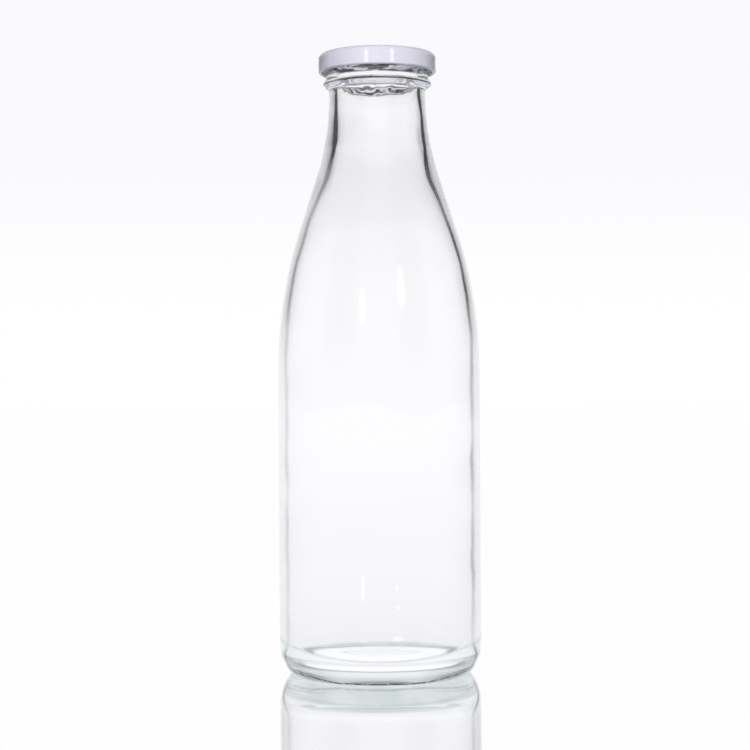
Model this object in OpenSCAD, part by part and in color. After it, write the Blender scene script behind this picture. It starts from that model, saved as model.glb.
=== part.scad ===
// One-litre glass milk bottle with a twist-off metal cap.
// Millimetres, +Z up. The origin is the centre of the face the bottle stands on.
// At rest the cap is down on the rim, with its lugs in the gaps between the glass threads.

/* [Bottle] */
// Height of the glass, from the table to the top of the rim
bottle_h = 268; // [250:1:285]
// Diameter of the straight body
body_d = 88; // [82:0.5:94]
// Height at which the bevel above the foot would meet the straight body
heel_rise = 6.5; // [5:0.1:8]
// Radius that blends the heel into the body
heel_r = 20; // [12:0.5:22]
// Diameter of the foot, at its outer edge
foot_d = 77.6; // [74:0.2:79]
// Radius of the foot's outer edge
foot_edge_r = 2.5; // [1:0.1:2.6]
// Width of the foot, from the outer edge to the start of the push-up
foot_w = 3.6; // [2:0.1:4.5]
// Rise of the outside of the base at the middle
push_up_h = 3.6; // [2.5:0.1:4.5]
// Rise of the outside of the base where its bevel ends
push_up_edge_h = 3; // [2:0.1:3.4]
// Width of the bevel between the foot and the push-up
push_up_bevel = 7.4; // [5:0.1:10]
// Radius that blends the bends of the base, inside and outside
base_blend_r = 6; // [3:0.5:10]
// Radius of the foot's inner edge
foot_inner_r = 0.8; // [0.4:0.1:1.5]

/* [Glass thickness] */
// Wall of the straight body
body_wall = 3.5; // [2.5:0.1:4.5]
// Glass at the middle of the base
base_wall = 5.4; // [3:0.1:6.5]
// Fall of the inside floor from the middle to its corner
floor_fall = 3; // [2.4:0.1:3.4]
// Diameter at which the inside floor bends
floor_bend_d = 52; // [44:1:56]
// Fall of the inside floor from the middle to that bend
floor_bend_fall = 1.9; // [1:0.1:2.2]
// Radius of the inside corner between floor and wall
floor_r = 9; // [6:0.5:12]
// Wall of the finish, the part that takes the cap
finish_wall = 3.95; // [3:0.05:4.4]

/* [Neck and shoulder] */
// Depth below the rim at which the shoulder's slope would meet the neck
neck_drop = 34.5; // [31:0.5:38]
// Depth below the rim at which the shoulder's slope would meet the body
shoulder_drop = 104.6; // [95:0.5:115]
// Share of the slope taken by the curve into the body
shoulder_low_share = 0.425; // [0.3:0.005:0.5]
// Share of the slope taken by the curve into the neck
shoulder_high_share = 0.236; // [0.15:0.002:0.26]
// How far the inside slope starts below the outside one, at the neck
bore_drop = 8.3; // [5:0.1:10]
// How far the inside slope ends above the outside one, at the body
bore_rise = 9.3; // [6:0.1:11]
// Share of the inside slope taken by the curve into the body
bore_low_share = 0.61; // [0.45:0.01:0.65]
// Share of the inside slope taken by the curve into the bore
bore_high_share = 0.26; // [0.15:0.01:0.3]
// Step from the finish in to the neck below the bead, on the radius
neck_relief = 1.1; // [0.6:0.05:1.6]

/* [Bead] */
// Depth of the bead's middle below the rim
bead_drop = 11.7; // [11.2:0.1:12.5]
// Height of the bead's underside cone
bead_under_h = 2.3; // [1.8:0.1:2.8]
// Height of the bead's upper cone
bead_over_h = 2.1; // [1.7:0.1:2.5]
// Height of the bead's outer land
bead_land_h = 0.9; // [0.5:0.1:1.1]
// Radius of the bead's edges
bead_r = 0.8; // [0.4:0.1:0.9]
// Radius that blends the bead into the neck and the finish
bead_foot_r = 0.8; // [0.4:0.1:1]

/* [Rim and threads] */
// Radius of the rim's outer edge
rim_out_r = 1.3; // [0.8:0.1:1.5]
// Radius of the rim's inner edge
rim_in_r = 1.1; // [0.6:0.1:1.3]
// Threads on the glass, and lugs on the cap
thread_count = 4; // [3:1:5]
// How far a thread stands out from the finish
thread_depth = 1.3; // [0.9:0.05:1.5]
// Radius of a thread's round section
thread_section_r = 0.9; // [0.7:0.05:1]
// Gap between two threads, in degrees
thread_gap = 25; // [22:0.5:30]
// How far a thread falls from its high end to its low end
thread_fall = 1.5; // [0.6:0.1:1.8]

/* [Cap] */
// Diameter of the cap
cap_d = 51.3; // [50:0.1:53]
// Height of the cap
cap_h = 8.2; // [8:0.1:8.5]
// Thickness of the steel sheet
sheet_t = 0.25; // [0.18:0.01:0.3]
// Radius of the cap's top edge, outside
cap_edge_r = 2; // [1.5:0.1:2.4]
// Radius of the rolled curl, outside
curl_r = 0.8; // [0.65:0.05:0.9]
// How far round the sheet is rolled, in degrees
curl_turn = 250; // [200:5:265]
// Diameter of the top panel, inside the channel
panel_d = 35.6; // [33:0.2:37]
// Depth of the panel below the channel
panel_drop = 0.7; // [0.3:0.05:0.8]
// Width of the sloping step between panel and channel
panel_step_w = 0.7; // [0.6:0.05:1]
// Radius of the bends at that step
panel_bend_r = 0.4; // [0.25:0.05:0.5]
// Height of a lug's top above the cap's lower edge
lug_h = 1.6; // [1.3:0.05:1.7]
// Height of a lug's underside above the cap's lower edge
lug_base_h = 0.1; // [0.05:0.01:0.2]
// Radius of the circle that shapes a lug seen from above
lug_plan_r = 3.3; // [3:0.1:3.6]
// Radius of a lug's edges
lug_edge_r = 0.5; // [0.3:0.05:0.6]

/* [Seal] */
// Thickness of the sealing compound over the rim
seal_t = 1.1; // [0.9:0.05:1.3]
// Depth of the groove that the rim has pressed into the compound
seal_groove = 0.3; // [0.15:0.05:0.4]
// Gap between the compound's inner edge and the channel's step
seal_step_gap = 0.5; // [0.2:0.05:1]
// Radius of the compound's free edges
seal_edge_r = 0.2; // [0.1:0.05:0.25]

/* [Fits] */
// Gap between the compound and what it lies on
seal_gap = 0.05; // [0.02:0.01:0.08]
// Gap between a thread and the cap's curl, on the radius
thread_play = 0.45; // [0.2:0.05:0.6]
// Gap between a lug and the finish, on the radius
lug_play = 0.45; // [0.2:0.05:0.6]
// Gap between a lug's top and the lowest point of a thread
lug_rise_play = 0.2; // [0.1:0.05:0.4]

/* [Hidden] */
// Finish, from the cap's size inward
curl_in_r = cap_d / 2 - 2 * curl_r;
thread_r = curl_in_r - thread_play;
finish_r = thread_r - thread_depth;
mouth_r = finish_r - finish_wall;
neck_r = finish_r - neck_relief;
lug_tip_r = finish_r + lug_play;

// Body
body_r = body_d / 2;
inside_r = body_r - body_wall;
foot_r = foot_d / 2;
floor_z = push_up_h + base_wall;

// Heights at the neck, from the rim down
neck_z = bottle_h - neck_drop;
shoulder_z = bottle_h - shoulder_drop;
bore_z = neck_z - bore_drop;
inside_z = shoulder_z + bore_rise;
bead_z = bottle_h - bead_drop;

// Cap, from the rim up and then down
cap_top_z = bottle_h + seal_gap + seal_t + sheet_t;
cap_z = cap_top_z - cap_h;
cap_mid_r = cap_d / 2 - sheet_t / 2;
cap_mid_top = cap_top_z - sheet_t / 2;
panel_mid_z = cap_mid_top - panel_drop;
curl_mid_r = curl_r - sheet_t / 2;
curl_c = [cap_d / 2 - curl_r, cap_z + curl_r];
lug_root_r = curl_c[0];

// Threads and lugs
thread_c_r = thread_r - thread_section_r;
thread_low_z = cap_z + lug_h + lug_rise_play + thread_section_r;
thread_mid_z = thread_low_z + thread_fall / 2;
thread_arc = 360 / thread_count - thread_gap;
thread_tilt = asin(thread_fall / 2 / (thread_c_r * sin(thread_arc / 2)));

// Seal
seal_in_r = panel_d / 2 + panel_step_w + seal_step_gap;
seal_out_r = cap_d / 2 - sheet_t - seal_gap;
seal_top_z = cap_top_z - sheet_t - seal_gap / 2;
seal_low_z = bottle_h + seal_gap - seal_groove;
seal_corner_r = cap_edge_r - sheet_t;
// The ring's side leans in where its corner starts below its low edge, and stands straight where
// there is room
seal_corner_z = seal_top_z - seal_corner_r;
seal_lean = max(0, 2 + asin(min(0.9,
    (seal_low_z + seal_edge_r - seal_corner_z) / (seal_corner_r - seal_edge_r))));
function seal_side_r(z) = seal_out_r - seal_corner_r
    + (seal_corner_r - (z - seal_corner_z) * sin(seal_lean)) / cos(seal_lean);
rim_cut_z = seal_low_z - seal_t;

// Fineness: largest distance between a curve and the chords that draw it
chord_gap = 0.012;
least_chords = 4;
$fn = 120;

// ---- plane curves ---------------------------------------------------------------------------

function left_of(d) = [-d[1], d[0]];
function unit(v) = v / norm(v);
function xy(c) = [c[0], c[1]];
function spin(v, a) = [v[0] * cos(a) - v[1] * sin(a), v[0] * sin(a) + v[1] * cos(a)];
function cross2(u, v) = u[0] * v[1] - u[1] * v[0];

// Chords for an arc of radius r that turns by a degrees
function chords(r, a) = max(least_chords, ceil(abs(a) / (2 * acos(1 - min(chord_gap / r, 0.5)))));

// Tangent length of a corner: how much of each side a radius uses
function tangent(r, a) = r * tan(abs(a) / 2);

// Radius that uses length t of each side of a corner that turns by a degrees
function radius_for(t, a) = t / tan(abs(a) / 2);

// Signed turn at q on the way p, q, s
function turn_at(p, q, s) =
    atan2(cross2(unit(q - p), unit(s - q)), unit(q - p) * unit(s - q));

// The rounded corner q as [point, left normal] pairs
function corner(p, q, s, r) =
    let (a = turn_at(p, q, s))
    let (u = unit(q - p))
    let (side = a < 0 ? -1 : 1)
    let (c = q - u * tangent(r, a) + side * r * left_of(u))
    let (n = chords(r, a))
    [for (i = [0:n])
        let (w = spin(-side * left_of(u), a * i / n))
        [c + r * w, -side * w]];

// A path of corners [r, z, radius] as [point, left normal] pairs, radius 0 for a plain end
function path(t) =
    [for (i = [0:len(t) - 1])
        for (v = t[i][2] > 0
            ? corner(xy(t[i - 1]), xy(t[i]), xy(t[i + 1]), t[i][2])
            : [[xy(t[i]), end_normal(t, i)]])
            v];

// Normal at a plain end: that of the side next to it
function end_normal(t, i) =
    i == 0 ? left_of(unit(xy(t[1]) - xy(t[0]))) : left_of(unit(xy(t[i]) - xy(t[i - 1])));

function points(v) = [for (p = v) p[0]];

// A band of even thickness along a path
function band(v, t) = concat(
    [for (p = v) p[0] + p[1] * t / 2],
    [for (i = [len(v) - 1:-1:0]) v[i][0] - v[i][1] * t / 2]);

// ---- glass ----------------------------------------------------------------------------------

slope_out = norm([body_r - neck_r, neck_z - shoulder_z]);
slope_out_turn = atan2(body_r - neck_r, neck_z - shoulder_z);
slope_in = norm([inside_r - mouth_r, bore_z - inside_z]);
slope_in_turn = atan2(inside_r - mouth_r, bore_z - inside_z);

// Outside, from the middle of the base up to the rim, then inside, down to the floor
glass_corners = [
    [0, push_up_h, 0],
    [foot_r - foot_w - push_up_bevel, push_up_edge_h, base_blend_r],
    [foot_r - foot_w, 0, foot_inner_r],
    [foot_r, 0, foot_edge_r],
    [body_r, heel_rise, heel_r],
    [body_r, shoulder_z, radius_for(shoulder_low_share * slope_out, slope_out_turn)],
    [neck_r, neck_z, radius_for(shoulder_high_share * slope_out, slope_out_turn)],
    [neck_r, bead_z - bead_land_h / 2 - bead_under_h, bead_foot_r],
    [thread_r, bead_z - bead_land_h / 2, bead_r],
    [thread_r, bead_z + bead_land_h / 2, bead_r],
    [finish_r, bead_z + bead_land_h / 2 + bead_over_h, bead_foot_r],
    [finish_r, bottle_h, rim_out_r],
    [mouth_r, bottle_h, rim_in_r],
    [mouth_r, bore_z, radius_for(bore_high_share * slope_in, slope_in_turn)],
    [inside_r, inside_z, radius_for(bore_low_share * slope_in, slope_in_turn)],
    [inside_r, floor_z - floor_fall, floor_r],
    [floor_bend_d / 2, floor_z - floor_bend_fall, base_blend_r],
    [0, floor_z, 0],
];

// One glass thread: a tilted arc of round section with round ends
module thread() {
    translate([0, 0, thread_mid_z])
        rotate([thread_tilt, 0, 0])
            rotate([0, 0, -thread_arc / 2]) {
                rotate_extrude(angle = thread_arc)
                    translate([thread_c_r, 0])
                        circle(r = thread_section_r);
                translate([thread_c_r, 0, 0])
                    sphere(r = thread_section_r);
                rotate([0, 0, thread_arc])
                    translate([thread_c_r, 0, 0])
                        sphere(r = thread_section_r);
            }
}

module glass_bottle() {
    color([0.86, 0.92, 0.9, 0.35])
        union() {
            rotate_extrude()
                polygon(points(path(glass_corners)));
            for (i = [0:thread_count - 1])
                rotate([0, 0, i * 360 / thread_count])
                    thread();
        }
}

// ---- cap ------------------------------------------------------------------------------------

// Middle line of the sheet, from the axis out along the top and down the skirt
cap_corners = [
    [0, panel_mid_z, 0],
    [panel_d / 2, panel_mid_z, panel_bend_r],
    [panel_d / 2 + panel_step_w, cap_mid_top, panel_bend_r],
    [cap_mid_r, cap_mid_top, cap_edge_r - sheet_t / 2],
    [cap_mid_r, curl_c[1], 0],
];

// The curl, rolled inward from the foot of the skirt
curl_n = chords(curl_mid_r, curl_turn);
curl_path = [for (i = [1:curl_n])
    let (w = spin([1, 0], -curl_turn * i / curl_n))
    [curl_c + curl_mid_r * w, w]];

lug_corners = [
    [lug_root_r, cap_z + lug_base_h, 0],
    [lug_root_r, cap_z + lug_h, 0],
    [lug_tip_r, cap_z + lug_h, lug_edge_r],
    [lug_tip_r, cap_z + lug_base_h, lug_edge_r],
];

// One lug: pressed in from the curl, and round in plan
module lug() {
    intersection() {
        rotate_extrude()
            polygon(points(path(concat(lug_corners, [lug_corners[0]]))));
        translate([lug_root_r, 0, cap_z])
            cylinder(r = lug_plan_r, h = cap_h);
    }
}

module cap_shell() {
    color([0.93, 0.92, 0.95])
        union() {
            rotate_extrude()
                polygon(band(concat(path(cap_corners), curl_path), sheet_t));
            for (i = [0:thread_count - 1])
                rotate([0, 0, (i + 0.5) * 360 / thread_count])
                    lug();
        }
}

// ---- seal -----------------------------------------------------------------------------------

// Compound in the cap's channel
seal_corners = [
    [seal_in_r, (seal_low_z + seal_top_z) / 2, 0],
    [seal_in_r, seal_low_z, seal_edge_r],
    [seal_side_r(seal_low_z), seal_low_z, seal_edge_r],
    [seal_side_r(seal_top_z), seal_top_z, seal_corner_r],
    [seal_in_r, seal_top_z, seal_edge_r],
    [seal_in_r, (seal_low_z + seal_top_z) / 2, 0],
];

// The rim of the glass with the fit gap round it
rim_corners = [
    [mouth_r - seal_gap, rim_cut_z, 0],
    [finish_r + seal_gap, rim_cut_z, 0],
    [finish_r + seal_gap, bottle_h + seal_gap, rim_out_r + seal_gap],
    [mouth_r - seal_gap, bottle_h + seal_gap, rim_in_r + seal_gap],
    [mouth_r - seal_gap, rim_cut_z, 0],
];

module sealing_ring() {
    color([0.9, 0.89, 0.86])
        rotate_extrude()
            difference() {
                polygon(points(path(seal_corners)));
                polygon(points(path(rim_corners)));
            }
}

glass_bottle();
cap_shell();
sealing_ring();
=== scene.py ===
"""The looks of a one-litre glass milk bottle with a twist-off cap, round its CAD frame."""
import math

import bpy
import numpy as np
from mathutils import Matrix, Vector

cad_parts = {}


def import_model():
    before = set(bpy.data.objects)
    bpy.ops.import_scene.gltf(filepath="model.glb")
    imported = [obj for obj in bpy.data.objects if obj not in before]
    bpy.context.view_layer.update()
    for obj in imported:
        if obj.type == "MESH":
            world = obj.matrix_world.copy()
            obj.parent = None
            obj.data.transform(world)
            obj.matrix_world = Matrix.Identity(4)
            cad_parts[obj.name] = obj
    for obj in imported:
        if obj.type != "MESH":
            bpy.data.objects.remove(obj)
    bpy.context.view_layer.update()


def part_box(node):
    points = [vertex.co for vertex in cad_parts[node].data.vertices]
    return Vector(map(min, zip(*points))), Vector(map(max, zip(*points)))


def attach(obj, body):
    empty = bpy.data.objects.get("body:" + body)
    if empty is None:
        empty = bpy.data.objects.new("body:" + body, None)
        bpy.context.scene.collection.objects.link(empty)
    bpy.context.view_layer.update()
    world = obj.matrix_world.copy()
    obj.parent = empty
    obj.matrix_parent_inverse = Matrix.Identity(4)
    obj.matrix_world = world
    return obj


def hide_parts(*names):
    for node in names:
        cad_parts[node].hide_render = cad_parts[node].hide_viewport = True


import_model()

MM = 0.001
glass_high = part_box("glass_bottle")[1]
cap_low, cap_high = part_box("cap_shell")

# ---- sizes, in millimetres and degrees, as in the part's source ------------------------------

# Whole
RIM_Z = glass_high[2] / MM
BODY_R = min(glass_high[0], glass_high[1]) / MM - 0.01
CAP_R = min(cap_high[0], cap_high[1]) / MM
CAP_TOP_Z = cap_high[2] / MM
CAP_Z = cap_low[2] / MM

# Cap
SHEET_T = 0.25
CAP_EDGE_R = 2.0
PANEL_R = 17.8
PANEL_STEP_R = 18.5
PANEL_BEND_R = 0.4
PANEL_DROP = 0.7
CURL_R = 0.8
CURL_TURN = 250
CURL_STEP = 6
LUG_H = 1.6

# Finish
THREAD_R = CAP_R - 2 * CURL_R - 0.45
FINISH_R = THREAD_R - 1.3
MOUTH_R = FINISH_R - 3.95
NECK_R = FINISH_R - 1.1
LUG_TIP_R = FINISH_R + 0.45
RIM_OUT_R = 1.3
RIM_IN_R = 1.1
THREADS = 4
THREAD_ARC = 65.0
THREAD_FALL = 1.5
THREAD_HALF_H = 1.05
THREAD_MID_Z = CAP_Z + LUG_H + 0.2 + 0.9 + THREAD_FALL / 2

# Transfer bead
BEAD_Z = RIM_Z - 11.7
BEAD_HALF_H = 0.45
BEAD_UNDER = 2.75
BEAD_OVER = 2.55
BEAD_BEND_R = 0.8

# Body and shoulder
NECK_CORNER_Z = RIM_Z - 34.5
SHOULDER_CORNER_Z = RIM_Z - 104.6
SHOULDER_LOW_SHARE = 0.425
SHOULDER_HIGH_SHARE = 0.236
HEEL_RISE = 6.5
HEEL_R = 20.0

# Foot and push-up
FOOT_R = 38.8
FOOT_IN_R = 35.2
FOOT_LAND_R = 36.5
FOOT_EDGE_R = 2.5
FOOT_IN_EDGE_R = 0.8
PUSH_UP_H = 3.6
PUSH_UP_EDGE_H = 3.0
PUSH_UP_BEVEL = 7.4
BASE_BLEND_R = 6

# Inside
INSIDE_R = BODY_R - 3.5
BORE_CORNER_Z = NECK_CORNER_Z - 8.3
INSIDE_CORNER_Z = SHOULDER_CORNER_Z + 9.3
BORE_HIGH_SHARE = 0.26
BORE_LOW_SHARE = 0.61
FLOOR_Z = 9.0
FLOOR_FALL = 3.0
FLOOR_CORNER_R = 9
FLOOR_BEND_AT = 26
FLOOR_BEND_FALL = 1.9

# Sealing ring
SEAL_GAP = 0.05
SEAL_IN_R = 19.0
SEAL_OUT_R = CAP_R - SHEET_T - SEAL_GAP
SEAL_EDGE_R = 0.2
SEAL_CORNER_R = 1.7

# Heights over which the glass changes from heel to body, from body to neck and from neck to bore
HEEL_SPAN = (12, 30)
SHOULDER_SPAN = (120, 200)
BORE_SPAN = (228, 240)

# How far the neck's wall is swollen, the mould seam raised (and half its width) and the foot
# stippled
NECK_SWELL = 0.4
SEAM_RISE = 0.06
SEAM_HALF_W = 0.25
STIPPLE_RISE = 0.35

BOTTLE_SEGMENTS = 288
CAP_SEGMENTS = 288
RING_SEGMENTS = 192

# ---- curves ----------------------------------------------------------------------------------


def rounded_path(corners, step=0.1):
    """Points, about a step apart, along a path of corners (r, z, radius)."""
    places = [np.array(c[:2], float) for c in corners]
    path = [places[0]]
    for before, here, after, corner in zip(places, places[1:], places[2:], corners[1:]):
        radius = corner[2]
        u = (here - before) / np.linalg.norm(here - before)
        v = (after - here) / np.linalg.norm(after - here)
        turn = math.atan2(u[0] * v[1] - u[1] * v[0], float(u @ v))
        side = math.copysign(1, turn)
        normal = np.array([-u[1], u[0]]) * side
        start = here - u * radius * math.tan(abs(turn) / 2)
        centre = start + normal * radius
        count = max(2, math.ceil(radius * abs(turn) / step))
        for i in range(count + 1):
            a = turn * i / count
            w = -normal
            path.append(centre + radius * np.array([w[0] * math.cos(a) - w[1] * math.sin(a),
                                                    w[0] * math.sin(a) + w[1] * math.cos(a)]))
    path.append(places[-1])
    return np.array(path)


def resampled(path, spacing):
    """The same curve with points as far apart as spacing(r, z) says."""
    legs = np.linalg.norm(np.diff(path, axis=0), axis=1)
    along = np.concatenate([[0], np.cumsum(legs)])
    s, marks = 0.0, [0.0]
    while s < along[-1]:
        r, z = (np.interp(s, along, path[:, k]) for k in (0, 1))
        s += spacing(r, z)
        marks.append(s)
    marks = np.array(marks) * along[-1] / marks[-1]
    return np.stack([np.interp(marks, along, path[:, k]) for k in (0, 1)], axis=1)


def softened(path, reach):
    """The curve with its curvature steps smoothed over about reach points; the ends stay."""
    out = path.copy()
    for _ in range(reach):
        out[1:-1] = out[1:-1] * 0.5 + (out[:-2] + out[2:]) * 0.25
    return out


def smoothstep(low, high, x):
    """0 below low, 1 above high, and a smooth rise between."""
    t = np.clip((np.asarray(x, float) - low) / (high - low), 0, 1)
    return t * t * (3 - 2 * t)


def zone(z, rise, fall):
    """1 between two heights, with a smooth rise and a smooth fall over the two spans."""
    return smoothstep(*rise, z) * (1 - smoothstep(*fall, z))


def waves(theta, z, seed, longest, count=9, turns=6):
    """A smooth random field round the bottle, about -1 to 1, with waves up to longest mm high."""
    rng = np.random.default_rng(seed)
    total = np.zeros(np.broadcast(theta, z).shape)
    for _ in range(count):
        lobes = rng.integers(1, turns + 1)
        length = longest * rng.uniform(0.25, 1.0)
        phase = rng.uniform(0, 2 * math.pi, 2)
        around = np.cos(lobes * theta + phase[0])
        total = total + around * np.cos(2 * math.pi * z / length + phase[1])
    return total / math.sqrt(count)


# ---- meshes ----------------------------------------------------------------------------------


def lathe(name, profile, segments, shift=None, closed=False):
    """A body of revolution from (r, z) points in mm. shift(theta, r, z, i) moves points in r and z.
    An open profile starts and ends on the axis, where it closes in a fan."""
    theta = np.arange(segments) * 2 * math.pi / segments
    ring = profile if closed else profile[1:-1]
    grid_t, grid_i = np.meshgrid(theta, np.arange(len(ring)))
    r, z = ring[:, 0][grid_i], ring[:, 1][grid_i]
    if shift:
        dr, dz = shift(grid_t, r, z, grid_i)
        r, z = r + dr, z + dz
    points = np.stack([r * np.cos(grid_t), r * np.sin(grid_t), z], axis=-1).reshape(-1, 3)
    rows = len(ring)
    faces = []
    for i in range(rows if closed else rows - 1):
        a, b = i * segments, (i + 1) % rows * segments
        for j in range(segments):
            k = (j + 1) % segments
            faces.append((a + j, a + k, b + k, b + j))
    points = points.tolist()
    if not closed:
        for end, first, flip in ((0, 0, False), (-1, (rows - 1) * segments, True)):
            pole = len(points)
            points.append([0.0, 0.0, float(profile[end][1])])
            for j in range(segments):
                k = (j + 1) % segments
                fan = (pole, first + k, first + j)
                faces.append(fan[::-1] if flip else fan)
    mesh = bpy.data.meshes.new(name)
    mesh.from_pydata([[c * MM for c in p] for p in points], [], faces)
    mesh.polygons.foreach_set("use_smooth", [True] * len(mesh.polygons))
    mesh.update()
    piece = bpy.data.objects.new(name, mesh)
    bpy.context.scene.collection.objects.link(piece)
    return piece


def glass_spacing(r, z):
    """Fine points at the finish, the bead and the foot, and long ones on the plain walls."""
    if z > BEAD_Z - 4:
        return 0.2 if r > MOUTH_R + 0.5 else 0.8
    if z < 1.5:
        return 0.3
    return 0.8 if z < 16 else 2.0


def glass_profile():
    """Outside from the middle of the base to the rim, then inside down to the floor."""
    out_turn = math.atan2(BODY_R - NECK_R, NECK_CORNER_Z - SHOULDER_CORNER_Z)
    out_slope = math.hypot(BODY_R - NECK_R, NECK_CORNER_Z - SHOULDER_CORNER_Z)
    in_turn = math.atan2(INSIDE_R - MOUTH_R, BORE_CORNER_Z - INSIDE_CORNER_Z)
    in_slope = math.hypot(INSIDE_R - MOUTH_R, BORE_CORNER_Z - INSIDE_CORNER_Z)
    corners = [
        (0, PUSH_UP_H, 0),
        (FOOT_IN_R - PUSH_UP_BEVEL, PUSH_UP_EDGE_H, BASE_BLEND_R),
        (FOOT_IN_R, 0, FOOT_IN_EDGE_R),
        (FOOT_R, 0, FOOT_EDGE_R),
        (BODY_R, HEEL_RISE, HEEL_R),
        (BODY_R, SHOULDER_CORNER_Z, SHOULDER_LOW_SHARE * out_slope / math.tan(out_turn / 2)),
        (NECK_R, NECK_CORNER_Z, SHOULDER_HIGH_SHARE * out_slope / math.tan(out_turn / 2)),
        (NECK_R, BEAD_Z - BEAD_UNDER, BEAD_BEND_R),
        (THREAD_R, BEAD_Z - BEAD_HALF_H, BEAD_BEND_R),
        (THREAD_R, BEAD_Z + BEAD_HALF_H, BEAD_BEND_R),
        (FINISH_R, BEAD_Z + BEAD_OVER, BEAD_BEND_R),
        (FINISH_R, RIM_Z, RIM_OUT_R),
        (MOUTH_R, RIM_Z, RIM_IN_R),
        (MOUTH_R, BORE_CORNER_Z, BORE_HIGH_SHARE * in_slope / math.tan(in_turn / 2)),
        (INSIDE_R, INSIDE_CORNER_Z, BORE_LOW_SHARE * in_slope / math.tan(in_turn / 2)),
        (INSIDE_R, FLOOR_Z - FLOOR_FALL, FLOOR_CORNER_R),
        (FLOOR_BEND_AT, FLOOR_Z - FLOOR_BEND_FALL, BASE_BLEND_R),
        (0, FLOOR_Z, 0),
    ]
    return softened(resampled(rounded_path(corners), glass_spacing), 2)


def neck_swell(z):
    """How much thicker the blown neck is than its sections say."""
    return NECK_SWELL * zone(z, (195, 225), (250, 255))


def glass_thread(theta, z):
    """How far the four tilted threads stand out of the finish."""
    spacing = 2 * math.pi / THREADS
    off = (theta + spacing / 2) % spacing - spacing / 2
    half = math.radians(THREAD_ARC) / 2
    centre = THREAD_MID_Z + THREAD_FALL / 2 * np.sin(off) / math.sin(half)
    crown = np.clip(1 - ((z - centre) / THREAD_HALF_H) ** 2, 0, 1) ** 0.8
    ends = 1 - smoothstep(half - 0.03, half + 0.05, np.abs(off))
    return (THREAD_R - FINISH_R) * crown * ends


def foot_stipple(theta, r, z):
    """How far the foot is raised between the points that it stands on."""
    foot = (1 - smoothstep(0.02, 1.2, z)) * smoothstep(FOOT_IN_R - 0.6, FOOT_IN_R, r)
    knurl = 0.5 + 0.5 * np.cos(130 * theta + 3 * np.sin(7 * theta) + 2 * np.sin(19 * theta + 1))
    return STIPPLE_RISE * foot * knurl * smoothstep(0.05, 0.4, np.abs(r - FOOT_LAND_R))


def glass_shift(rim_row):
    """Threads, seams and the stippled foot outside, and the blown wall's waves on both sides."""

    def shift(theta, r, z, i):
        outside = i < rim_row
        body = zone(z, HEEL_SPAN, SHOULDER_SPAN)
        neck = zone(z, SHOULDER_SPAN, BORE_SPAN)
        bore = zone(z, BORE_SPAN, (254, 258))
        blown = zone(z, (200, 215), (248, 253))
        finish = zone(z, (250, 253), (258, 260))
        long = waves(theta, z, seed=5, longest=90)
        inner = 0.05 * body * long + 0.10 * neck * waves(theta, z, seed=8, longest=70)
        inner += 0.06 * bore * waves(theta, z, seed=21, longest=20, turns=9) - neck_swell(z)
        outer = 0.02 * (body + neck) * long
        outer += 0.05 * blown * waves(theta, z, seed=17, longest=16, turns=9)
        outer += 0.05 * finish * waves(theta, z, seed=61, longest=7, turns=30)
        seam_and_shade_line = SEAM_RISE * np.exp(-((np.sin(theta) * r) / SEAM_HALF_W) ** 2) * (body + neck)
        dr = np.where(outside, glass_thread(theta, z) + outer + seam_and_shade_line, inner)
        return dr, np.where(outside, foot_stipple(theta, r, z), 0)

    return shift


def painted_edge_shades(piece):
    """Where the inner wall's edge shows through the outer surface, for the glass material's painted
    shade:
    edge is the cosine at which a level ray grazes the inner wall, and line how dark the painted
    shade of that edge is."""
    mesh = piece.data
    points = np.empty(len(mesh.vertices) * 3)
    mesh.vertices.foreach_get("co", points)
    normals = np.empty(len(mesh.vertices) * 3)
    mesh.vertex_normals.foreach_get("vector", normals)
    points, normals = points.reshape(-1, 3) / MM, normals.reshape(-1, 3)
    r, z = np.hypot(points[:, 0], points[:, 1]), points[:, 2]
    theta = np.arctan2(points[:, 1], points[:, 0])
    outside = (normals[:, :2] * points[:, :2]).sum(axis=1) > 0.3 * r
    heel = 1 - smoothstep(8, 16, z)
    neck = smoothstep(212, 230, z)

    # The edge lies where the inner wall's radius puts it, at one place all over the heel, and
    # further in up the neck
    profile = glass_profile()
    rim = int(np.argmax(profile[:, 1]))
    inner = profile[rim:][::-1]
    inner_r = np.interp(z, inner[:, 1], inner[:, 0]) - neck_swell(z) - 0.2
    ratio = np.clip(inner_r / np.maximum(r, 1), 0, 0.97)
    edge = np.sqrt(1 - ratio ** 2) * np.sqrt(np.clip(1 - normals[:, 2] ** 2, 0.05, 1))
    edge = edge * (1 - heel) + 0.23 * heel
    edge *= 1 + 0.035 * waves(theta, z, seed=41, longest=40)
    edge *= 1 - neck * (0.13 + 0.1 * np.cos(theta)) * (1 - smoothstep(240, 252, z))

    # The line, a painted shade, is faint in the body, faintest above the heel, darker up the
    # shoulder and the neck, darkest at the neck's corner, and ends below the bead
    line = 0.33 - 0.2 * zone(z, (9, 16), (16, 30))
    line += 0.34 * smoothstep(130, 170, z) + 0.38 * neck
    line += 0.5 * heel * smoothstep(2, 4, z) + 0.1 * waves(theta, z, seed=33, longest=60)
    line += 0.5 * zone(z, (227.5, 229), (238, 246))
    line *= 1 - smoothstep(BEAD_Z - 4, BEAD_Z - 2.5, z)
    line *= 1 + 0.3 * np.cos(theta) * (1 - neck) * (1 - heel)
    line = np.where(outside, np.clip(line, 0, 1.6), 0)
    for name, values in (("edge", edge), ("line", line)):
        layer = mesh.attributes.new(name, "FLOAT", "POINT")
        layer.data.foreach_set("value", np.ascontiguousarray(values, np.float32))


def build_bottle():
    """The glass, with the threads, bead and foot ring in one with it."""
    profile = glass_profile()
    rim_row = int(np.argmax(profile[:, 1])) - 1
    piece = lathe("bottle_glass", profile, BOTTLE_SEGMENTS, glass_shift(rim_row))
    painted_edge_shades(piece)
    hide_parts("glass_bottle")
    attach(piece, "bottle")
    return piece


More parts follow.
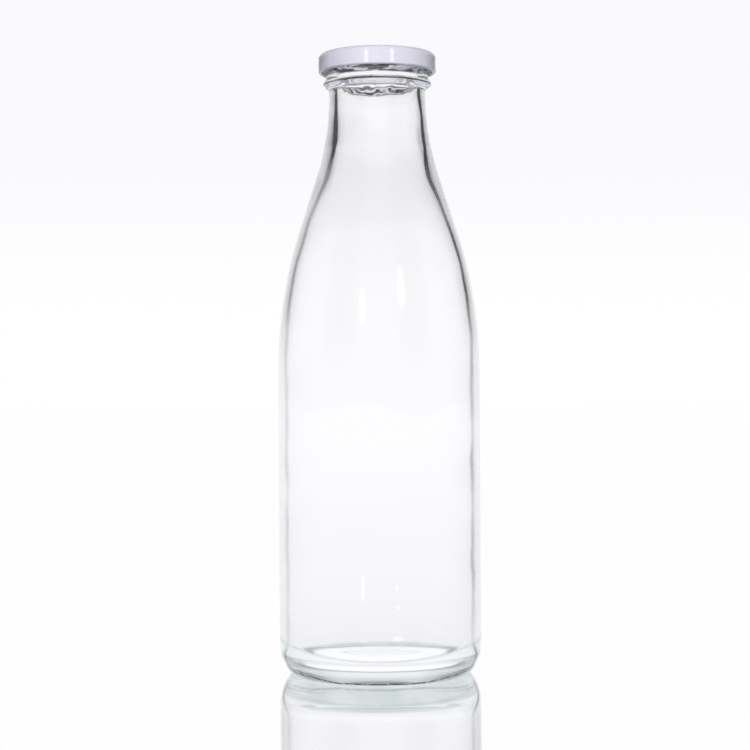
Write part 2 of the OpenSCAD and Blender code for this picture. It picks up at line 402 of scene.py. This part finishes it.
def sheet_band(middle, thickness):
    """A closed band of even thickness round a middle line that starts on the axis."""
    step = np.gradient(middle, axis=0)
    step /= np.linalg.norm(step, axis=1)[:, None]
    left = np.stack([-step[:, 1], step[:, 0]], axis=1)
    outer = middle + left * thickness / 2
    inner = middle - left * thickness / 2
    outer[0, 0] = inner[0, 0] = 0
    return np.concatenate([outer, inner[::-1]])


def cap_spacing(r, z):
    """Fine points at the curl and the top edge, and longer ones on the panel and the skirt."""
    return 0.16 if z < CAP_Z + 2 or r > CAP_R - 2.2 else 0.4


def cap_profile():
    """The pressed sheet: panel, step, channel, top edge, skirt and curl."""
    mid_r = CAP_R - SHEET_T / 2
    top = CAP_TOP_Z - SHEET_T / 2
    curl = np.array([CAP_R - CURL_R, CAP_Z + CURL_R])
    corners = [
        (0, top - PANEL_DROP, 0),
        (PANEL_R, top - PANEL_DROP, PANEL_BEND_R),
        (PANEL_STEP_R, top, PANEL_BEND_R),
        (mid_r, top, CAP_EDGE_R - SHEET_T / 2),
        (mid_r, curl[1], 0),
    ]
    turn = np.radians(np.arange(CURL_STEP, CURL_TURN + 1, CURL_STEP))
    roll = curl + (CURL_R - SHEET_T / 2) * np.stack([np.cos(turn), -np.sin(turn)], axis=1)
    line = np.concatenate([rounded_path(corners), roll])
    return sheet_band(resampled(line, cap_spacing), SHEET_T)


def cap_shift(theta, r, z, i):
    """Four lugs, pressed in from the curl between the threads."""
    spacing = 2 * math.pi / THREADS
    off = np.abs(theta % spacing - spacing / 2)
    lug = 1 - smoothstep(0.09, 0.17, off)
    low = 1 - smoothstep(CAP_Z + LUG_H + 0.1, CAP_Z + LUG_H + 0.9, z)
    inward = np.clip((CAP_R - r) / (2 * CURL_R), 0, 1) ** 1.2
    depth = CAP_R - 2 * CURL_R - LUG_TIP_R
    return -lug * low * (0.04 + depth * inward), np.zeros_like(r)


def build_cap():
    """The pressing. Its second material is the lacquered tinplate inside, as far as the curl."""
    profile = cap_profile()
    piece = lathe("cap_pressing", profile, CAP_SEGMENTS, cap_shift)
    half, last = len(profile) // 2, len(profile) - 1
    inside = profile[:, 1] > CAP_Z + LUG_H + 0.2
    for face in piece.data.polygons:
        row = min(face.vertices) // CAP_SEGMENTS
        if row >= half - 1 and inside[min(row + 1, last)] or row >= last - 1:
            face.material_index = 1
    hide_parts("cap_shell")
    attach(piece, "cap")
    return piece


def ring_profile():
    """The compound: a flat ring with the rim's groove pressed into its underside. Its side leans
    in, because the cap's corner, which it fills, reaches below the ring's low edge."""
    low, high = (c[2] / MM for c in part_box("sealing_ring"))
    middle = (low + high) / 2 + 0.1
    land = RIM_Z + SEAL_GAP
    groove_r = FINISH_R + SEAL_GAP
    corner_z = high - SEAL_CORNER_R
    lean = math.asin((low + SEAL_EDGE_R - corner_z) / (SEAL_CORNER_R - SEAL_EDGE_R))
    lean += math.radians(2)

    def side_r(z):
        reach = SEAL_CORNER_R - (z - corner_z) * math.sin(lean)
        return SEAL_OUT_R - SEAL_CORNER_R + reach / math.cos(lean)

    corners = [
        (SEAL_IN_R, middle, 0),
        (SEAL_IN_R, low + 0.05, 0.12),
        (SEAL_IN_R + 0.25, low + 0.02, 0.1),
        (SEAL_IN_R + 0.6, land, 0.3),
        (groove_r - 1.2, land, 0.3),
        (groove_r - 0.1, low, 0.25),
        (side_r(low), low, SEAL_EDGE_R),
        (side_r(high), high, SEAL_CORNER_R),
        (SEAL_IN_R, high, 0.2),
        (SEAL_IN_R, middle, 0),
    ]
    return resampled(rounded_path(corners), lambda r, z: 0.15)[:-1]


def build_ring():
    """The sealing ring in the cap's channel."""
    piece = lathe("seal_compound", ring_profile(), RING_SEGMENTS, closed=True)
    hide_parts("sealing_ring")
    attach(piece, "seal")
    return piece


# ---- nodes -----------------------------------------------------------------------------------


def material(name):
    """A new node material: its tree, its Principled shader and its output."""
    mat = bpy.data.materials.new(name)
    mat.use_nodes = True
    tree = mat.node_tree
    shader = next(n for n in tree.nodes if n.type == "BSDF_PRINCIPLED")
    output = next(n for n in tree.nodes if n.type == "OUTPUT_MATERIAL")
    return mat, tree, shader, output


def node(tree, kind, inputs=None, **settings):
    """A node with its settings, and its inputs linked or set."""
    new = tree.nodes.new(kind)
    for key, value in settings.items():
        setattr(new, key, value)
    for key, value in (inputs or {}).items():
        socket = new.inputs[key]
        if isinstance(value, bpy.types.NodeSocket):
            tree.links.new(value, socket)
        else:
            socket.default_value = value
    return new


def maths(tree, operation, first, *others):
    """One operation on a value, or on values one after another."""
    for other in others or (0.0,):
        first = node(tree, "ShaderNodeMath", {0: first, 1: other}, operation=operation).outputs[0]
    return first


def product(tree, *values):
    return maths(tree, "MULTIPLY", *values)


def rest_of(tree, share):
    """What a share leaves of 1."""
    return maths(tree, "SUBTRACT", 1.0, share)


def off_from(tree, value, middle):
    """How far a value is from a middle, either way."""
    return maths(tree, "ABSOLUTE", maths(tree, "SUBTRACT", value, middle))


def between(tree, value, low, high, to_low=0.0, to_high=1.0):
    """A smooth rise or fall from to_low, at low, to to_high, at high."""
    return node(tree, "ShaderNodeMapRange",
                {"Value": value, "From Min": low, "From Max": high, "To Min": to_low,
                 "To Max": to_high}, interpolation_type="SMOOTHSTEP").outputs[0]


def straight(tree, value, low, high, to_low=0.0, to_high=1.0):
    """A straight rise or fall from to_low, at low, to to_high, at high."""
    return node(tree, "ShaderNodeMapRange",
                {"Value": value, "From Min": low, "From Max": high, "To Min": to_low,
                 "To Max": to_high}).outputs[0]


def ramp(tree, value, stops):
    """Grey levels or colours, linear between (place, level) stops."""
    new = node(tree, "ShaderNodeValToRGB", {"Fac": value})
    marks = new.color_ramp.elements
    for place, _ in stops[2:]:
        marks.new(place)
    for mark, (place, _) in zip(marks, stops):
        mark.position = place
    for mark, (_, level) in zip(marks, stops):
        mark.color = (*level, 1) if isinstance(level, tuple) else (level, level, level, 1)
    return new.outputs["Color"]


def mixed(tree, share, low, high):
    """A number from low, at no share, to high, at a full one."""
    return node(tree, "ShaderNodeMix", {0: share, 2: low, 3: high}).outputs[0]


def mixed_colour(tree, share, low, high, blend="MIX"):
    return node(tree, "ShaderNodeMix", {0: share, 6: low, 7: high}, data_type="RGBA",
                blend_type=blend).outputs[2]


def mixed_shader(tree, share, low, high):
    return node(tree, "ShaderNodeMixShader", {0: share, 1: low, 2: high}).outputs[0]


def object_place(tree):
    return node(tree, "ShaderNodeTexCoord").outputs["Object"]


def reach_of(tree, vector):
    return node(tree, "ShaderNodeVectorMath", {0: vector}, operation="LENGTH").outputs["Value"]


def stretched(tree, place, scale):
    return node(tree, "ShaderNodeMapping", {"Vector": place, "Scale": scale}).outputs[0]


def noise(tree, place, scale, detail):
    return node(tree, "ShaderNodeTexNoise",
                {"Vector": place, "Scale": scale, "Detail": detail}).outputs["Fac"]


def bumped(tree, shader, height, strength, depth):
    """Gives a shader a bump of a height, in metres deep."""
    bump = node(tree, "ShaderNodeBump",
                {"Height": height, "Strength": strength, "Distance": depth})
    tree.links.new(bump.outputs["Normal"], shader.inputs["Normal"])


# ---- materials -------------------------------------------------------------------------------

WHITE = (1, 1, 1, 1)
GLASS_IOR = 1.52
GLASS_TINT = (0.82, 0.9, 0.89, 1)
GLASS_TINT_DENSITY = 9.0
GLASS_SHADOW = (0.93, 0.95, 0.945, 1)
# The foot's grey-green: the thick glass's tint, deepened by painted shade
FOOT_TINT_AND_SHADE = (0.36, 0.44, 0.44, 1)
TRAPPED_LIGHT = (0.82, 0.845, 0.85, 1)
# How dark the glass's painted shade is, by how nearly the view grazes the inner wall's edge
INNER_EDGE_SHADE = [(0.0, 0.0), (0.1, 0.12), (0.25, 0.2), (0.37, 0.28), (0.43, 0.5), (0.45, 0.98),
              (0.515, 0.99), (0.535, 0.35), (0.58, 0.18), (0.68, 0.1), (0.85, 0.03), (1.0, 0.0)]
ENAMEL = [(0.3, (0.76, 0.735, 0.86)), (0.7, (0.81, 0.79, 0.91))]
ENAMEL_IOR = 1.5
TINPLATE = (0.86, 0.84, 0.91, 1)
COMPOUND = [(0.0, (0.66, 0.65, 0.62)), (1.0, (0.74, 0.73, 0.7))]


def foot_shade_lines(tree, z, side, slow, quick):
    """Two broken dark lines of painted shade low on the foot. They climb to the sides, and the
    upper one shows only there."""
    middle = maths(tree, "ADD", product(tree, side, 2.2), product(tree, slow, 1.2))
    lower = between(tree, quick, 0.4, 0.5, 0.45, 1.0)
    upper = product(tree, side, between(tree, quick, 0.38, 0.5, 0.5, 1.0))
    seam_and_shade_line = 0.0
    for above, tall, share in ((0.5, 0.62, lower), (1.7, 0.6, upper)):
        off = off_from(tree, maths(tree, "SUBTRACT", z, above), middle)
        band = between(tree, off, tall, 0.25 * tall)
        seam_and_shade_line = maths(tree, "MAXIMUM", product(tree, band, share), seam_and_shade_line)
    return seam_and_shade_line


def foot_tint_and_shade_lines(tree, mirrored):
    """How deep the grey-green of the foot's thick glass is, its tint deepened by painted shade, and
    how dark the broken lines of painted shade are: at the foot, round the bead and below the cap.
    The table's mirror sees the foot from below, and higher up through the thick glass."""
    place = object_place(tree)
    axes = node(tree, "ShaderNodeSeparateXYZ", {0: place})
    z = product(tree, axes.outputs[2], 1 / MM)
    r = reach_of(tree, place)
    rim = between(tree, r, 0.030, 0.034)
    across = maths(tree, "DIVIDE", maths(tree, "ABSOLUTE", axes.outputs[0]), r)
    side = between(tree, across, 0.4, 0.97)
    slow = noise(tree, place, 90.0, 1.0)
    quick = noise(tree, place, 520.0, 1.0)

    # Thick glass's tint, deepened by painted shade: up to 5.5 mm, faintly up to 18 mm at the sides,
    # and up to 8.6 mm in the mirror
    direct = maths(tree, "MAXIMUM", between(tree, z, 5.5, 2.5),
                   product(tree, between(tree, z, 18.0, 11.0, 0.0, 0.32), side))
    deep = mixed(tree, mirrored, direct, between(tree, z, 8.6, 6.8))
    deep = product(tree, deep, between(tree, slow, 0.3, 0.7, 0.75, 1.0), rim)

    # Lines of painted shade: the foot's, fainter in the mirror, one along the bead, and strokes up
    # to the cap
    foot = product(tree, foot_shade_lines(tree, z, side, slow, quick),
                   between(tree, mirrored, 0.0, 1.0, 0.9, 0.35), rim)
    bead = product(tree, between(tree, off_from(tree, z, BEAD_Z - 0.35), 0.55, 0.2),
                   between(tree, slow, 0.35, 0.5, 0.6, 0.85))
    drawn = noise(tree, stretched(tree, place, (150, 150, 620)), 1.0, 1.0)
    strokes = product(tree, between(tree, drawn, 0.49, 0.54, 0.0, 0.8),
                      product(tree, between(tree, z, BEAD_Z + 2.3, BEAD_Z + 2.7),
                              between(tree, z, CAP_Z + 0.6, CAP_Z + 0.2)))
    return deep, maths(tree, "MAXIMUM", foot, bead, strokes)


def glass_material():
    """Clear glass. Its colour is darkened by painted shade where a ray would graze the inner wall
    and be thrown aside, and along broken lines of painted shade at the foot, the bead and below the
    cap; the foot's grey-green is the thick glass's tint deepened by painted shade. Light that is
    mirrored inside it time after time is let out."""
    mat, tree, glass, output = material("bottle_clear_glass")
    glass.inputs["Roughness"].default_value = 0.0
    glass.inputs["IOR"].default_value = GLASS_IOR
    glass.inputs["Transmission Weight"].default_value = 1.0
    path = node(tree, "ShaderNodeLightPath")
    facing = node(tree, "ShaderNodeLayerWeight", {"Blend": 0.5}).outputs["Facing"]
    edge = node(tree, "ShaderNodeAttribute", attribute_name="edge").outputs["Fac"]
    line = node(tree, "ShaderNodeAttribute", attribute_name="line").outputs["Fac"]
    outside = rest_of(tree, node(tree, "ShaderNodeNewGeometry").outputs["Backfacing"])

    # Painted shade: the colour darkens where the view grazes the inner wall's edge and along the
    # painted shade lines, for rays entering from outside
    graze = maths(tree, "DIVIDE", rest_of(tree, facing), edge)
    shade = ramp(tree, product(tree, graze, 0.5), INNER_EDGE_SHADE)
    shade = maths(tree, "MINIMUM", product(tree, shade, line), 0.98)
    deep, seam_and_shade_line = foot_tint_and_shade_lines(tree, path.outputs["Is Glossy Ray"])
    amount = maths(tree, "MAXIMUM", shade, seam_and_shade_line)
    kept = maths(tree, "POWER", rest_of(tree, product(tree, amount, outside)), 2.0)
    kept = node(tree, "ShaderNodeCombineColor", {0: kept, 1: kept, 2: kept}).outputs[0]
    # The foot's grey-green, the thick glass's tint deepened by painted shade, for rays entering
    # from outside
    thick = mixed_colour(tree, product(tree, deep, outside), WHITE, FOOT_TINT_AND_SHADE)
    tree.links.new(mixed_colour(tree, 1.0, thick, kept, "MULTIPLY"), glass.inputs["Base Color"])

    late = node(tree, "ShaderNodeBsdfPrincipled", {"Base Color": TRAPPED_LIGHT, "Roughness": 0.0,
                                                   "IOR": 1.0, "Transmission Weight": 1.0})
    trapped = maths(tree, "GREATER_THAN", path.outputs["Glossy Depth"], 1.5)
    seen = mixed_shader(tree, trapped, glass.outputs[0], late.outputs[0])
    clear = node(tree, "ShaderNodeBsdfTransparent", {"Color": GLASS_SHADOW})
    both = mixed_shader(tree, path.outputs["Is Shadow Ray"], seen, clear.outputs[0])
    tree.links.new(both, output.inputs["Surface"])
    tint = node(tree, "ShaderNodeVolumeAbsorption",
                {"Color": GLASS_TINT, "Density": GLASS_TINT_DENSITY})
    tree.links.new(tint.outputs["Volume"], output.inputs["Volume"])
    return mat


def enamel_material():
    """Glossy white enamel, faintly lilac and cloudy, with a fine orange peel."""
    mat, tree, paint, _ = material("cap_white_enamel")
    place = object_place(tree)
    cloud = noise(tree, place, 60.0, 3.0)
    tree.links.new(ramp(tree, cloud, ENAMEL), paint.inputs["Base Color"])
    paint.inputs["IOR"].default_value = ENAMEL_IOR
    tree.links.new(straight(tree, cloud, 0.0, 1.0, 0.07, 0.12), paint.inputs["Roughness"])
    bumped(tree, paint, noise(tree, place, 900.0, 2.0), 0.06, 0.0002)
    return mat


def tinplate_material():
    """Clear-lacquered tinplate, with the fine grain of the rolled sheet."""
    mat, tree, metal, _ = material("cap_inside_tinplate")
    metal.inputs["Metallic"].default_value = 1.0
    metal.inputs["Base Color"].default_value = TINPLATE
    rolled = noise(tree, stretched(tree, object_place(tree), (60, 1500, 1500)), 1.0, 2.0)
    tree.links.new(straight(tree, rolled, 0.0, 1.0, 0.1, 0.2), metal.inputs["Roughness"])
    bumped(tree, metal, rolled, 0.1, 0.0001)
    return mat


def compound_material():
    """Soft off-white compound, a little uneven."""
    mat, tree, soft, _ = material("seal_plastisol")
    cloud = noise(tree, object_place(tree), 350.0, 3.0)
    tree.links.new(ramp(tree, cloud, COMPOUND), soft.inputs["Base Color"])
    soft.inputs["Roughness"].default_value = 0.45
    bumped(tree, soft, cloud, 0.15, 0.0002)
    return mat


# ---- stage -----------------------------------------------------------------------------------

WORLD_LIGHT = 0.12
WORLD_COLOUR = (0.97, 0.96, 1, 1)
SHOWN_COLOUR = (0.98, 0.972, 1, 1)
MIRRORED_COLOUR = (0.99, 0.985, 1, 1)
HIGH_LILAC = (0.955, 0.95, 0.98, 1)

# Dark flags at the corners, by how near a direction is to one of the part's four axes
FLAG_TURN = 1.5
FLAGS = [(0.0, 0.35), (0.11, 0.45), (0.25, 0.65), (0.5, 0.9), (0.65, 1.0)]
SOFT_FLAGS = [(0.0, 0.5), (0.25, 0.6), (0.5, 0.9), (0.65, 1.0)]

# The backdrop's levels by how steeply a ray goes up: through the glass, and mirrored
THROUGH_BY_RISE = [(0.0, 1.0), (0.05, 1.0), (0.1, 0.99), (0.16, 0.94), (0.35, 0.92), (0.5, 0.85),
                   (0.66, 0.7), (0.8, 0.65)]
MIRRORED_BY_RISE = [(0.0, 1.0), (0.3, 1.0), (0.6, 0.4), (0.8, 0.2)]

# Bright upright strips that the enamel mirrors: azimuths, half widths in degrees, and level
STRIPS = (-21.0, 29.0)
STRIP_HALF = (2.8, 4.2)
STRIP_LEVEL = 5.0

TABLE_HALF = 6.0
TABLE_GREY = (0.3, 0.3, 0.31, 1)
TABLE_MIRROR = [(0.0, 0.06), (0.3, 0.15), (0.58, 0.4), (0.78, 0.8), (0.86, 0.88), (1.0, 0.95)]
# What the glass shows of the table: painted shade, darker near the bottle, and painted light in a
# disc under the push-up
TABLE_REACH = 2.5
TABLE_SHADE_BY_REACH = [(0.0, 0.92), (0.04, 0.93), (0.14, 0.965), (0.5, 1.0), (1.0, 1.02)]
LIGHT_UNDER_PUSH_UP = 0.16

# Painted highlights on the table, seen only in reflections: azimuth, reach, half width, half depth,
# strength
PAINTED_GLINTS = [(-18.2, 0.388, 2.2, 0.085, 1.7), (17.3, 0.395, 1.8, 0.02, 1.5),
          (17.8, 0.293, 1.8, 0.012, 1.6), (-16.4, 0.174, 5.0, 0.0045, 2.0),
          (16.6, 0.182, 6.0, 0.01, 2.2)]

LAMP_AIM = (0, 0, 0.16)

CAMERA_PLACE = (-0.00175, -0.773, 0.12955)
CAMERA_ROLL = 0.36
CAMERA_LENS = 84.9
CAMERA_SENSOR = 36.0


def corner_shade(tree, across, ahead, stops):
    """The level each way round: white near the four axes of the part, dark flags at the corners."""
    turn = maths(tree, "SUBTRACT", maths(tree, "ARCTAN2", across, ahead), math.radians(FLAG_TURN))
    wave = maths(tree, "COSINE", product(tree, turn, 4.0))
    return ramp(tree, straight(tree, wave, -1.0, 1.0), stops)


def azimuth_of(tree, axes):
    """0 on the camera's side, and to the right positive."""
    return maths(tree, "ARCTAN2", axes.outputs[0], product(tree, axes.outputs[1], -1.0))


def through_level(tree, axes, path, above):
    """What the glass shows of the backdrop: white, darker at the corners and high up."""
    flags = corner_shade(tree, axes.outputs[0], axes.outputs[1], FLAGS)
    direct = straight(tree, path.outputs["Glossy Depth"], 0.0, 1.0, 1.0, 0.4)
    flags = mixed(tree, product(tree, above, direct), 1.0, flags)
    return product(tree, flags, ramp(tree, axes.outputs[2], THROUGH_BY_RISE))


def mirrored_level(tree, axes, path, above):
    """What glass and enamel mirror: soft flags, which are harder low behind the enamel, and two
    bright strips for the enamel alone."""
    sharp = path.outputs["Is Singular Ray"]
    rough = rest_of(tree, sharp)
    behind = product(tree, between(tree, axes.outputs[1], 0.05, 0.2),
                     between(tree, axes.outputs[2], 0.225, 0.19))
    sides = corner_shade(tree, axes.outputs[0], axes.outputs[1], SOFT_FLAGS)
    hardness = maths(tree, "ADD", sharp, product(tree, rough, behind, 2.2))
    sides = mixed(tree, above, 1.0, maths(tree, "POWER", sides, hardness))
    level = product(tree, ramp(tree, axes.outputs[2], MIRRORED_BY_RISE), sides)
    turn = azimuth_of(tree, axes)
    low = straight(tree, axes.outputs[2], 0.34, 0.26)
    inner, outer = (math.radians(half) for half in STRIP_HALF)
    for azimuth in STRIPS:
        off = off_from(tree, turn, math.radians(azimuth))
        strip = product(tree, straight(tree, off, outer, inner, 0.0, STRIP_LEVEL), low, rough)
        level = maths(tree, "ADD", level, strip)
    return level


def world():
    """White for the camera; for the glass, a white backdrop with dark flags beside it."""
    sky = bpy.data.worlds.new("studio")
    bpy.context.scene.world = sky
    sky.use_nodes = True
    tree = sky.node_tree
    tree.nodes.clear()
    way = node(tree, "ShaderNodeTexCoord").outputs["Generated"]
    path = node(tree, "ShaderNodeLightPath")
    axes = node(tree, "ShaderNodeSeparateXYZ", {0: way})
    above = between(tree, axes.outputs[2], -0.02, 0.1)
    lilac = mixed_colour(tree, between(tree, axes.outputs[2], 0.03, 0.13), WHITE, HIGH_LILAC)

    def background(colour, strength):
        inputs = {"Color": colour, "Strength": strength}
        return node(tree, "ShaderNodeBackground", inputs).outputs[0]

    seen = background(lilac, 1.0)
    through = background(SHOWN_COLOUR, through_level(tree, axes, path, above))
    mirrored = background(MIRRORED_COLOUR, mirrored_level(tree, axes, path, above))
    light = background(WORLD_COLOUR, WORLD_LIGHT)
    shown = mixed_shader(tree, path.outputs["Is Glossy Ray"], light, mirrored)
    shown = mixed_shader(tree, path.outputs["Is Transmission Ray"], shown, through)
    shown = mixed_shader(tree, path.outputs["Is Camera Ray"], shown, seen)
    tree.links.new(shown, node(tree, "ShaderNodeOutputWorld").inputs["Surface"])


def painted_glints(tree, turn, reach):
    """The painted light of the table's small bright patches."""
    total = 0.0
    for azimuth, middle, wide, deep, strength in PAINTED_GLINTS:
        across = maths(tree, "DIVIDE", maths(tree, "SUBTRACT", turn, math.radians(azimuth)),
                       math.radians(wide))
        along = maths(tree, "DIVIDE", maths(tree, "SUBTRACT", reach, middle), deep)
        off = maths(tree, "ADD", product(tree, across, across), product(tree, along, along))
        total = maths(tree, "ADD", between(tree, off, 1.2, 0.5, 0.0, strength), total)
    return total


def floor():
    """A glossy white table: white to the camera, with the bottle mirrored in it; through the glass
    white with painted shade near the bottle and painted light under the push-up; in reflections
    white with painted highlights; and a plain grey to the light that bounces."""
    half = TABLE_HALF
    mesh = bpy.data.meshes.new("table")
    mesh.from_pydata([(-half, -half, 0), (half, -half, 0), (half, half, 0), (-half, half, 0)], [],
                     [(0, 1, 2, 3)])
    table = bpy.data.objects.new("table", mesh)
    bpy.context.scene.collection.objects.link(table)
    mat, tree, matt, output = material("table_white_gloss")
    matt.inputs["Base Color"].default_value = TABLE_GREY
    matt.inputs["Roughness"].default_value = 0.6
    path = node(tree, "ShaderNodeLightPath")
    place = node(tree, "ShaderNodeNewGeometry").outputs["Position"]
    axes = node(tree, "ShaderNodeSeparateXYZ", {0: place})
    reach = reach_of(tree, place)

    def glow(colour, strength):
        inputs = {"Color": colour, "Strength": strength}
        return node(tree, "ShaderNodeEmission", inputs).outputs[0]

    mirror = node(tree, "ShaderNodeBsdfGlossy", {"Color": WHITE, "Roughness": 0.01})
    slant = node(tree, "ShaderNodeLayerWeight", {"Blend": 0.5}).outputs["Facing"]
    polished = mixed_shader(tree, ramp(tree, slant, TABLE_MIRROR), glow(WHITE, 1.0),
                            mirror.outputs[0])
    # Painted shade near the bottle and painted light under the push-up, seen through the glass
    level = ramp(tree, maths(tree, "DIVIDE", reach, TABLE_REACH), TABLE_SHADE_BY_REACH)
    level = maths(tree, "ADD", level, between(tree, reach, 0.037, 0.034, 0.0, LIGHT_UNDER_PUSH_UP))
    # Painted highlights: bright patches that only reflections in the glass and the cap show
    lit = painted_glints(tree, azimuth_of(tree, axes), reach)
    bright = glow(WHITE, maths(tree, "ADD", lit, 1.0))
    shown = mixed_shader(tree, path.outputs["Is Glossy Ray"], matt.outputs[0], bright)
    shown = mixed_shader(tree, path.outputs["Is Transmission Ray"], shown,
                         glow(SHOWN_COLOUR, level))
    shown = mixed_shader(tree, path.outputs["Is Camera Ray"], shown, polished)
    tree.links.new(shown, output.inputs["Surface"])
    table.data.materials.append(mat)


def lamp(name, azimuth, elevation, distance, across, tall, radiance, mirrored=True):
    """An area lamp that faces the bottle. Azimuth 0 is the camera's side, and to the right is
    positive; across and tall are its size in degrees. Only a mirrored one shows in the glass and
    the cap."""
    a, e = math.radians(azimuth), math.radians(elevation)
    way = np.array([math.sin(a) * math.cos(e), -math.cos(a) * math.cos(e), math.sin(e)])
    data = bpy.data.lights.new(name, "AREA")
    data.shape = "ELLIPSE"
    data.size = 2 * distance * math.tan(math.radians(across / 2))
    data.size_y = 2 * distance * math.tan(math.radians(tall / 2))
    data.energy = radiance * math.pi * data.size * data.size_y * math.pi / 4
    new = bpy.data.objects.new(name, data)
    new.location = np.array(LAMP_AIM) + way * distance
    new.rotation_euler = (math.pi / 2 - e, 0, a)
    new.visible_glossy = mirrored
    new.visible_transmission = new.visible_camera = False
    bpy.context.scene.collection.objects.link(new)


def camera():
    """The camera, level but for a slight roll."""
    data = bpy.data.cameras.new("camera")
    data.sensor_width = CAMERA_SENSOR
    data.lens = CAMERA_LENS
    cam = bpy.data.objects.new("camera", data)
    cam.location = CAMERA_PLACE
    cam.rotation_euler = (math.pi / 2, math.radians(CAMERA_ROLL), 0)
    bpy.context.scene.collection.objects.link(cam)
    bpy.context.scene.camera = cam


bottle = build_bottle()
cap = build_cap()
ring = build_ring()
bottle.data.materials.append(glass_material())
for coat in (enamel_material(), tinplate_material()):
    cap.data.materials.append(coat)
ring.data.materials.append(compound_material())
world()
floor()
lamp("front_fill", 0, 22, 4.0, 30, 30, 12.2, mirrored=False)
lamp("back_fill", 180, 25, 4.0, 40, 30, 7.2, mirrored=False)
lamp("near_right", 25.4, 20.0, 0.3, 8.5, 13.5, 2.4)
lamp("near_left", -18.2, 14.6, 0.3, 7.0, 11.0, 2.4)
camera()
bpy.context.scene.view_settings.view_transform = "Standard"
